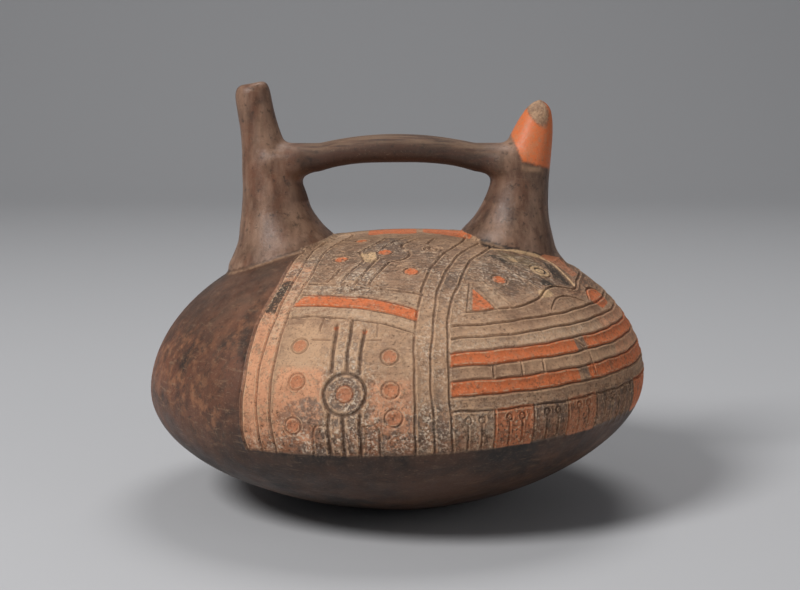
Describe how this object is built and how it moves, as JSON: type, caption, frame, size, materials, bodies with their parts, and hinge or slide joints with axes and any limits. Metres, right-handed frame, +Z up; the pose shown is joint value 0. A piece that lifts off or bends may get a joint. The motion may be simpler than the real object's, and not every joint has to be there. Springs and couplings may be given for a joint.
{
  "type": "double spout and bridge vessel",
  "caption": "Low round fired-clay bottle with one open spout, one pointed blind spout, a strap bridge between them and incised, painted bands.",
  "frame": {"origin": "centre of the vessel's footprint, on the surface that it stands on, at the middle of its small flat foot", "axes": "+Z up, +X towards the painted end and the blind spout, the front of the ornament towards -Y"},
  "size_m": [0.18, 0.18, 0.1521],
  "materials": {
    "fired_clay": "burnished and smoked dark brown clay, with incised bands in worn orange, cream and grey-brown paint"
  },
  "bodies": {
    "root": {"vessel": "fired_clay"}
  },
  "joints": []
}
